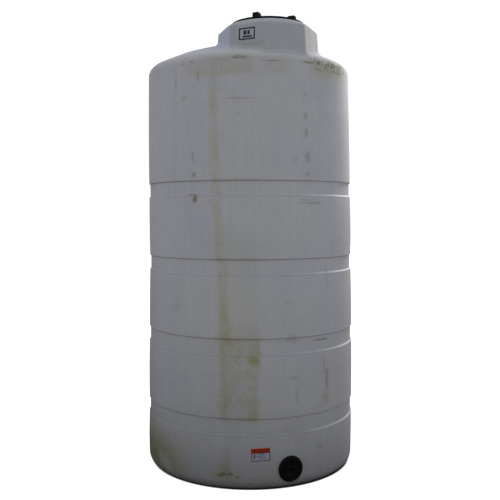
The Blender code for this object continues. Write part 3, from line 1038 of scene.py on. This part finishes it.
def shell_material(name, on_turret=False):
    """Weathered polyethylene, with painted light and painted shade on the wall's edges, the ledges, the roof in
    front and the turret. The back has the front's stains, mirrored and a little shifted.
    """
    g = Graph(name)
    x, y, z = g.split(g.place)
    upward = g.split(g.normal)[2]
    azimuth = g.math("DEGREES", g.math("ARCTAN2", x, g.product(y, -1.0)))
    off_front = g.math("ABSOLUTE", azimuth)
    hind = g.math("GREATER_THAN", off_front, 90.0)
    wrapped = g.math("WRAP", azimuth, 90.0, -90.0)
    spot = g.total(g.product(wrapped, g.total(1.0, g.product(hind, -2.15))), g.product(hind, 9.0))
    behind = g.remap(off_front, 96.0, 128.0)

    def streaks(across, down, detail, roughness):
        """Streaks down the wall, by the azimuth in front and by the place behind, where it wraps."""
        front = g.noise(g.join(g.product(azimuth, across), g.product(z, down)), 1.0, detail, roughness)
        scale = across * 94.0
        place = g.join(g.product(x, scale), g.product(y, scale), g.product(z, down))
        return g.mix(behind, front, g.noise(place, 1.0, detail, roughness))

    drift = g.noise(g.place, 5.0, 3.0)
    warp_by = g.product(g.math("SUBTRACT", drift, 0.5), 6.0)
    turned_by = g.total(spot, warp_by)
    rain = streaks(0.55, 0.9, 5.0, 0.6)
    fine_rain = streaks(2.2, 1.6, 4.0, 0.65)
    cloud = g.noise(g.place, 2.2, 4.0)
    mottle = g.noise(g.place, 8.0, 6.0, 0.68)
    speck = g.noise(g.place, 42.0, 6.0, 0.72)
    fine = g.noise(g.place, 12.0, 5.0, 0.6)
    broken = g.remap(fine, 0.32, 0.62, 0.25, 1.0)
    streaked = g.remap(fine_rain, 0.35, 0.62, 0.45, 1.0)

    fall = g.curve(g.math("DIVIDE", z, 2.6), WALL_FALL)
    base = g.mix(fall, (0.0, 0.0, 0.0, 1.0), (0.420, 0.418, 0.442, 1.0))
    shade = g.total(
        g.product(g.math("SUBTRACT", cloud, 0.5), 0.16),
        g.product(g.math("SUBTRACT", mottle, 0.5), 0.16),
        g.product(g.math("SUBTRACT", rain, 0.5), 0.18),
        g.product(g.math("SUBTRACT", fine_rain, 0.5), 0.12),
        g.product(g.math("SUBTRACT", speck, 0.5), 0.16),
        1.0,
    )
    colour = g.mix(1.0, base, g.join(shade, shade, shade), "MULTIPLY")
    yellowed = g.product(g.remap(cloud, 0.42, 0.62), g.window(spot, -40.0, 30.0, 18.0))
    colour = g.tint(colour, g.product(yellowed, 0.6), (1.0, 0.995, 0.945))

    # The long run of algae, which wanders to the right on its way down, and the stained field beside it
    path = g.total(g.product(g.curve(g.math("DIVIDE", z, 2.6), RUN_PATH), 40.0), -30.0)
    beside = g.math("SUBTRACT", spot, g.total(path, g.product(warp_by, -0.35)))
    run = g.product(g.window(beside, -2.6, 2.4, 1.2), g.window(z, 0.80, 2.27, 0.06), streaked, broken)
    colour = g.tint(colour, g.product(run, g.remap(rain, 0.3, 0.6, 0.5, 1.0)), (0.84, 0.84, 0.58))
    faint = g.product(g.window(turned_by, -15.0, 4.0, 2.5), g.window(z, 0.72, 1.40, 0.08), streaked)
    colour = g.tint(colour, g.product(faint, 0.45), (0.90, 0.89, 0.74))
    ragged = g.product(g.math("SUBTRACT", fine, 0.5), 7.0)
    frayed = g.total(turned_by, ragged)
    uneven = g.total(z, g.product(ragged, 0.012))
    strong = g.product(g.window(frayed, -15.8, 4.4, 1.8), g.window(uneven, 0.372, 0.84, 0.075), streaked)
    blotches = g.remap(g.noise(g.place, 17.0, 5.0, 0.65), 0.38, 0.60, 0.40, 1.0)
    dirty = g.product(strong, g.remap(mottle, 0.36, 0.58, 0.40, 1.0), blotches)
    colour = g.tint(colour, dirty, (0.80, 0.78, 0.56))
    flecks = g.product(strong, g.remap(speck, 0.52, 0.62))
    colour = g.tint(colour, g.product(flecks, 0.5), (0.88, 0.86, 0.64))
    edge = g.product(g.window(frayed, -15.5, -9.5, 2.2), g.window(uneven, 0.38, 0.98, 0.07), broken)
    colour = g.tint(colour, g.product(edge, 0.38), (0.86, 0.86, 0.58))
    side = g.product(g.window(frayed, 0.5, 4.4, 1.8), g.window(uneven, 0.38, 0.76, 0.06), broken)
    colour = g.tint(colour, g.product(side, 0.42), (0.84, 0.84, 0.56))

    # Grime low on the left, painted shade along the left edge and at its foot, and painted light down the right
    # edge
    left_side = g.remap(azimuth, -150.0, -100.0)
    low_left = g.product(
        g.remap(azimuth, -70.0, -36.0, 1.0, 0.0), left_side,
        g.remap(z, 0.10, 0.40, 1.0, 0.0), g.remap(fine, 0.30, 0.60, 0.3, 1.0),
    )
    colour = g.tint(colour, low_left, (0.70, 0.68, 0.44))
    low_spots = g.product(
        g.remap(azimuth, -58.0, -16.0, 1.0, 0.0), left_side,
        g.remap(z, 0.06, 0.34, 1.0, 0.0), g.remap(mottle, 0.38, 0.54),
    )
    colour = g.tint(colour, low_spots, (0.68, 0.66, 0.42))
    # Painted shade: the left edge of the wall is darkened, more so low down.
    painted_shade_left_edge = g.product(g.remap(azimuth, -84.0, -52.0, 1.0, 0.0), left_side, g.remap(z, 0.2, 2.0, 1.0, 0.45))
    colour = g.tint(colour, g.product(painted_shade_left_edge, 0.8), (0.68, 0.69, 0.71))
    # Painted shade: the foot of the left edge is darkened further.
    painted_shade_left_foot = g.product(g.remap(azimuth, -84.0, -60.0, 1.0, 0.0), left_side, g.remap(z, 0.15, 0.60, 1.0, 0.0))
    colour = g.tint(colour, painted_shade_left_foot, (0.72, 0.72, 0.72))
    # Painted light: the right edge is brightened, most at its top and towards its foot.
    right_side = g.window(azimuth, 64.0, 110.0, 9.0)
    painted_light_right_by_height = g.math("MAXIMUM", g.remap(z, 1.56, 1.72), g.remap(z, 0.30, 1.35, 1.0, 0.35))
    colour = g.tint(colour, g.product(right_side, painted_light_right_by_height), (1.11, 1.11, 1.10))

    # Moss along the shoulder, thickest on the right, with thin drips below it
    haze_at = g.window(z, 2.215, 2.325, 0.020)
    haze = g.product(haze_at, g.window(spot, -34.0, 20.0, 8.0), g.remap(mottle, 0.32, 0.56), streaked)
    colour = g.tint(colour, g.product(haze, 0.9), (0.84, 0.82, 0.66))
    tufts = g.product(g.window(z, 2.262, 2.322, 0.012), g.remap(g.noise(g.place, 58.0, 4.0), 0.46, 0.57))
    moss = g.product(g.window(spot, 36.0, 66.0, 5.0), tufts)
    colour = g.tint(colour, g.product(moss, 0.95), (0.42, 0.43, 0.24))
    mossy = g.product(g.window(spot, 36.0, 64.0, 5.0), g.window(z, 2.225, 2.325, 0.02), streaked)
    colour = g.tint(colour, g.product(mossy, 0.7), (0.86, 0.84, 0.60))
    threads = streaks(4.5, 2.5, 3.0, 0.6)
    drips = g.product(g.remap(z, 2.06, 2.25), g.remap(z, 2.27, 2.33, 1.0, 0.0), g.remap(threads, 0.56, 0.68))
    where = g.total(g.window(spot, -32.0, 14.0, 6.0), g.window(spot, 34.0, 62.0, 6.0), 0.15)
    colour = g.tint(colour, g.product(drips, where, 0.6), (0.78, 0.76, 0.60))

    # The sides that the photo doesn't show: washed-down dirt, patches, grime at the foot and some moss
    unseen = g.remap(off_front, 74.0, 90.0)
    column = g.noise(g.join(g.product(x, 15.0), g.product(y, 15.0), g.product(z, 0.7)), 1.0, 4.0, 0.6)
    washed = g.product(unseen, g.remap(column, 0.52, 0.66), g.remap(z, 0.2, 1.7, 0.25, 1.0), streaked)
    colour = g.tint(colour, washed, (0.84, 0.82, 0.68))
    patch = g.product(unseen, g.remap(g.noise(g.place, 3.6, 6.0, 0.62), 0.50, 0.66), broken)
    colour = g.tint(colour, patch, (0.86, 0.85, 0.76))
    grime = g.product(unseen, g.remap(z, 0.06, 0.42, 1.0, 0.0), g.remap(fine, 0.34, 0.60, 0.15, 1.0))
    colour = g.tint(colour, grime, (0.80, 0.78, 0.60))
    hidden_moss = g.product(unseen, tufts, g.remap(cloud, 0.49, 0.57))
    colour = g.tint(colour, g.product(hidden_moss, 0.9), (0.42, 0.43, 0.24))
    hidden_drips = g.product(unseen, drips, g.remap(column, 0.40, 0.60))
    colour = g.tint(colour, g.product(hidden_drips, 0.8), (0.74, 0.72, 0.56))

    # Painted shade with some dirt under each band's lip and at the foot of its ledge, a painted highlight on each
    # ledge to the right and painted cool shade on it from the front round to the left
    for i in range(BAND_COUNT):
        low, high = band_edges(i)
        # Painted shade, with some dirt, under each band's lip.
        lip_shade_and_dirt = g.product(g.window(z, high - 0.004, high + 0.001, 0.0015), g.remap(rain, 0.3, 0.6, 0.4, 1.0))
        colour = g.tint(colour, g.product(lip_shade_and_dirt, 0.45), (0.66, 0.61, 0.56))
        stained = g.product(g.window(turned_by, -18.0, 6.0, 4.0), g.window(z, high - 0.010, high + 0.012, 0.005))
        colour = g.tint(colour, g.product(stained, streaked, 0.6), (0.86, 0.79, 0.68))
        # Painted highlight on each ledge to the right, and painted cool shade on it from the front round to the
        # left.
        on_ledge = g.window(z, low - 0.001, low + 0.009, 0.002)
        colour = g.tint(colour, g.product(on_ledge, g.remap(azimuth, 20.0, 62.0)), (1.36, 1.36, 1.38))
        colour = g.tint(colour, g.product(on_ledge, g.remap(azimuth, 10.0, 50.0, 1.0, 0.0)), (0.84, 0.86, 0.92))
        # Painted shade, with some dirt, in a line at the foot of each ledge.
        foot = g.product(g.window(z, low - 0.006, low + 0.001, 0.002), g.remap(rain, 0.35, 0.6, 0.3, 1.0))
        colour = g.tint(colour, g.product(foot, 0.5), (0.74, 0.73, 0.72))

    small_warp = g.product(g.math("SUBTRACT", g.noise(g.place, 34.0, 4.0), 0.5), 1.5)
    for at, height, half_width, half_height, strength, by in STAINS:
        u = g.math("DIVIDE", g.math("SUBTRACT", spot, at), half_width)
        v = g.math("DIVIDE", g.math("SUBTRACT", z, height), half_height)
        reach = g.total(g.math("SQRT", g.total(g.product(u, u), g.product(v, v))), small_warp)
        mask = g.product(g.remap(reach, 0.35, 1.15, 1.0, 0.0), strength)
        colour = g.tint(colour, mask, by)

    # Specks all over, and splashes round the base
    dots = g.remap(g.noise(g.place, 62.0, 1.5), 0.735, 0.78)
    colour = g.tint(colour, g.product(dots, 0.7), (0.66, 0.63, 0.55))
    splash = g.product(g.remap(z, 0.0, 0.07, 1.0, 0.0), g.remap(fine, 0.3, 0.6, 0.5, 1.0))
    colour = g.tint(colour, g.product(splash, 0.6), (0.58, 0.54, 0.46))
    base_dots = g.product(g.remap(speck, 0.60, 0.70), g.remap(z, 0.02, 0.10, 1.0, 0.0))
    colour = g.tint(colour, g.product(base_dots, 0.8), (0.50, 0.47, 0.36))

    # Painted shade on the turret's front, painted cool light on its left and painted shade with some dust on its
    # right; on the roof in front, painted cool light to the left and painted shade with some dust to the right;
    # and dust on the roof behind
    dust_and_shade_patches = g.remap(mottle, 0.35, 0.62, 0.5, 1.0)
    if on_turret:
        ahead = g.total(
            g.product(g.math("SUBTRACT", x, float(TURRET_CENTRE[0])), math.sin(FRONT_AZIMUTH)),
            g.product(g.math("SUBTRACT", y, float(TURRET_CENTRE[1])), -math.cos(FRONT_AZIMUTH)),
        )
        steep = g.math("MAXIMUM", g.remap(upward, 0.78, 0.93, 1.0, 0.0), g.remap(z, 2.485, 2.500))
        seen = g.product(g.remap(ahead, -0.16, -0.06), steep)
        left, right = g.remap(x, -0.12, -0.10, 1.0, 0.0), g.remap(x, 0.300, 0.306)
        # Painted shade over the turret's front and left flats.
        colour = g.tint(colour, g.product(seen, g.inverse(right)), (0.82, 0.845, 0.865))
        # Painted cool light on the turret's left flat.
        colour = g.tint(colour, g.product(seen, left), (1.05, 1.12, 1.24))
        # Painted shade with some dust on the turret's right flat.
        colour = g.tint(colour, g.product(seen, right, dust_and_shade_patches), (0.84, 0.82, 0.79))
    else:
        roof_front = g.product(g.remap(z, 2.36, 2.39), g.remap(y, -0.05, 0.20, 1.0, 0.0))
        left, right = g.remap(x, -0.16, 0.04, 1.0, 0.0), g.remap(x, 0.22, 0.34)
        # Painted cool light on the roof in front, to the left.
        colour = g.tint(colour, g.product(roof_front, left), (0.86, 0.945, 1.06))
        # Painted shade with some dust on the roof in front, to the right.
        colour = g.tint(colour, g.product(roof_front, right, dust_and_shade_patches), (0.84, 0.82, 0.79))
        roof_back = g.product(g.remap(upward, 0.30, 0.75), g.remap(y, -0.12, 0.12))
        settled = g.remap(g.noise(g.place, 6.0, 6.0, 0.65), 0.34, 0.62, 0.35, 1.0)
        colour = g.tint(colour, g.product(roof_back, settled), (0.74, 0.73, 0.70))
        from_axis = g.math("SQRT", g.total(g.product(x, x), g.product(y, y)))
        silt = g.product(
            g.window(from_axis, RIDGE_RADIUS - GUTTER_WIDTH + 0.008, RIDGE_RADIUS - 0.010, 0.008),
            g.remap(upward, 0.5, 0.8), g.remap(y, -0.20, 0.10), g.remap(fine, 0.34, 0.60, 0.2, 1.0),
        )
        colour = g.tint(colour, silt, (0.70, 0.67, 0.56))

    g.shader.inputs["Specular IOR Level"].default_value = 0.25
    roughness = g.total(0.50, g.product(fine, 0.14), g.product(rain, 0.08))
    peel = g.noise(g.place, 260.0, 2.0)
    normal = g.bump(peel, 0.0004, 0.35)
    normal = g.bump(mottle, 0.002, 0.35, normal)
    normal = g.bump(cloud, 0.004, 0.35, normal)
    return g.finish(colour, roughness, normal)


def black_material(name, colour, dust_colour, roughness, gloss):
    """Moulded black plastic with dust and a little fading."""
    g = Graph(name, roughness)
    g.shader.inputs["Specular IOR Level"].default_value = gloss
    dust = g.remap(g.noise(g.place, 14.0, 6.0, 0.65), 0.42, 0.75)
    scuffs = g.remap(g.noise(g.place, 70.0, 5.0, 0.7), 0.55, 0.75)
    faded = g.mix(g.product(dust, 0.5), (*colour, 1.0), (*dust_colour, 1.0))
    faded = g.mix(g.product(scuffs, 0.3), faded, (*dust_colour, 1.0))
    rough = g.total(roughness, g.product(dust, 0.25))
    grain = g.noise(g.place, 420.0, 3.0)
    return g.finish(faded, rough, g.bump(grain, 0.0003, 0.4))


def film_material(name, colour, fade=0.25, roughness=0.42):
    """A printed vinyl film, faded by the sun and soiled in patches."""
    g = Graph(name, roughness)
    g.shader.inputs["Specular IOR Level"].default_value = 0.12
    worn = g.remap(g.noise(g.place, 60.0, 5.0, 0.7), 0.40, 0.68)
    soil = g.remap(g.noise(g.place, 18.0, 4.0, 0.6), 0.45, 0.72)
    colour = (*colour, 1.0)
    painted_light_right_by_height = tuple(c + (0.42 - c) * fade for c in colour[:3])
    shade = g.mix(g.product(worn, 0.7), colour, (*painted_light_right_by_height, 1.0))
    shade = g.tint(shade, g.product(soil, 0.5), (0.66, 0.62, 0.52))
    rough = g.total(roughness, g.product(worn, 0.2))
    crinkle = g.noise(g.place, 90.0, 3.0)
    return g.finish(shade, rough, g.bump(crinkle, 0.0005, 0.3))


def rubber_material():
    """Matt rubber with a bloom of chalky dust."""
    g = Graph("matt_black_rubber", 0.8)
    bloom = g.remap(g.noise(g.place, 35.0, 5.0, 0.6), 0.4, 0.75)
    shade = g.mix(g.product(bloom, 0.45), (0.020, 0.020, 0.020, 1.0), (0.055, 0.053, 0.050, 1.0))
    grain = g.noise(g.place, 600.0, 2.0)
    return g.finish(shade, g.total(0.72, g.product(bloom, 0.2)), g.bump(grain, 0.0002, 0.5))


# Stage

def make_stage():
    bpy.ops.mesh.primitive_circle_add(vertices=96, radius=30.0, fill_type="NGON", location=(0.0, 0.0, 0.0))
    floor = bpy.context.object
    floor.name = "floor"
    g = Graph("pale_floor", 0.9)
    ray = g.tree.nodes.new("ShaderNodeLightPath").outputs["Is Camera Ray"]
    g.set(g.shader.inputs["Emission Color"], (1.0, 1.0, 1.0, 1.0))
    x, y, _ = g.split(g.place)
    x = g.math("SUBTRACT", x, CONTACT_SHIFT[0])
    y = g.math("SUBTRACT", y, CONTACT_SHIFT[1])
    away = g.math("SQRT", g.total(g.product(x, x), g.product(y, y)))
    # Painted contact shadow: near the tank's foot the floor's glow fades out and its colour goes to near black.
    open_floor = g.remap(away, RADIUS - 0.024, RADIUS - 0.006)
    g.set(g.shader.inputs["Emission Strength"], g.product(ray, open_floor, FLOOR_GLOW))
    g.set(g.shader.inputs["Base Color"], g.mix(open_floor, (0.03, 0.02, 0.01, 1.0), (0.32, 0.32, 0.32, 1.0)))
    floor.data.materials.append(g.material)
    return floor


def make_world():
    world = bpy.data.worlds.new("studio")
    bpy.context.scene.world = world
    world.use_nodes = True
    tree = world.node_tree
    shade = tree.nodes["Background"]
    shade.inputs["Color"].default_value = WORLD_COLOUR
    ray = tree.nodes.new("ShaderNodeLightPath")
    scale = tree.nodes.new("ShaderNodeMapRange")
    scale.inputs[3].default_value = WORLD_LIGHT
    scale.inputs[4].default_value = SKY_GLOW
    tree.links.new(ray.outputs["Is Camera Ray"], scale.inputs[0])
    tree.links.new(scale.outputs[0], shade.inputs["Strength"])


def soft_light(name, place, target, size, power, colour=(1.0, 1.0, 1.0)):
    """A round area light. Its place is an azimuth in degrees, a distance from the axis and a height."""
    data = bpy.data.lights.new(name, "AREA")
    data.shape = "DISK"
    data.size = size
    data.energy = power
    data.color = colour
    light = bpy.data.objects.new(name, data)
    azimuth, distance, height = math.radians(place[0]), place[1], place[2]
    light.location = (distance * math.sin(azimuth), -distance * math.cos(azimuth), height)
    light.rotation_euler = (light.location - Vector(target)).to_track_quat("Z", "Y").to_euler()
    light.visible_glossy = False
    bpy.context.scene.collection.objects.link(light)


def make_camera():
    data = bpy.data.cameras.new("photo_camera")
    data.lens = 51.26
    data.sensor_width = 36.0
    data.shift_x = 0.0008
    data.shift_y = -0.0716
    camera = bpy.data.objects.new("photo_camera", data)
    camera.location = (0.0, -4.390, 1.470)
    camera.rotation_euler = (math.pi / 2.0, 0.0028, 0.0)
    bpy.context.scene.collection.objects.link(camera)
    bpy.context.scene.camera = camera


def paint(obj, material):
    obj.data.materials.clear()
    obj.data.materials.append(material)


def dress(piece, material, body, slot, *nodes):
    """Finishes a new piece: its material, the body it rides on and what it stands for. Its slot is not used."""
    if material:
        paint(piece, material)
    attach(piece, body)
    if nodes:
        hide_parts(*nodes)


polyethylene = shell_material("weathered_polyethylene_painted_light_and_shade")
turret_polyethylene = shell_material("weathered_turret_polyethylene_painted_light_and_shade", on_turret=True)
black = black_material(
    "black_moulded_polypropylene", (0.0028, 0.0034, 0.0055), (0.009, 0.009, 0.010), 0.42, 0.08
)
fitting_black = black_material(
    "black_fitting_polypropylene", (0.0012, 0.0012, 0.0013), (0.0055, 0.0052, 0.0050), 0.45, 0.07
)
rubber = rubber_material()

barrel_nodes = [f"wall_course_{i}" for i in range(1, 6)] + [f"recessed_band_{i}" for i in range(1, 5)]
dress(make_shell(), polyethylene, "tank", "shell", "bottom_pan", "roof_dome", *barrel_nodes)
dress(make_turret(), turret_polyethylene, "tank", "shell", "turret_wall", "turret_top")
dress(make_ring(), black, "tank", "lid", "manway_ring")
dress(make_gasket(), rubber, "lid", "seal", "lid_seal")
dress(make_cover(), black, "lid", "lid", "lid_disc")
for lug in range(LUG_COUNT):
    dress(make_lug_moulding(lug), black, "lid", "lid", f"lid_lug_{lug + 1}")
dress(make_vent(), black, "lid", "lid", "lid_vent")
dress(make_flange(), fitting_black, "tank", "fitting", "outlet_body")
dress(make_plug(), fitting_black, "tank", "fitting", "outlet_plug")
paint(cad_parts["outlet_nut"], fitting_black)
paint(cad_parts["outlet_seal"], rubber)

white_film = film_material("white_label_film", (0.33, 0.36, 0.40))
black_ink = film_material("black_label_ink", (0.020, 0.022, 0.028), 0.12)
grey_film = film_material("grey_label_film", (0.250, 0.245, 0.310), 0.10)
red_ink = film_material("red_label_ink", (0.19, 0.012, 0.004), 0.03)
bright_ink = film_material("bright_label_ink", (0.42, 0.060, 0.025), 0.05)
border_ink = film_material("dark_label_ink", (0.130, 0.040, 0.032), 0.06)
blue_ink = film_material("blue_label_ink", (0.060, 0.080, 0.150), 0.10)
slate_ink = film_material("slate_label_ink", (0.130, 0.150, 0.220), 0.10)
upper = make_label(
    "turret_label", 0.096, 0.066, on_turret(-1, -0.008, 2.451), notice_ink, [white_film, black_ink]
)
dress(upper, None, "tank", "shell")
lower = make_label(
    "barrel_label", 0.100, 0.0685, on_barrel(math.radians(5.2), 0.194), rating_ink,
    [grey_film, red_ink, border_ink, blue_ink, slate_ink, bright_ink], lean=math.radians(1.8),
)
dress(lower, None, "tank", "shell")

make_stage()
make_world()
make_camera()
soft_light("sun_side", (117.6, 1.485, 3.1), (0.55, -0.13, 2.1), 0.5, 46.0, (1.0, 0.975, 0.93))
bpy.context.scene.view_settings.view_transform = "Standard"
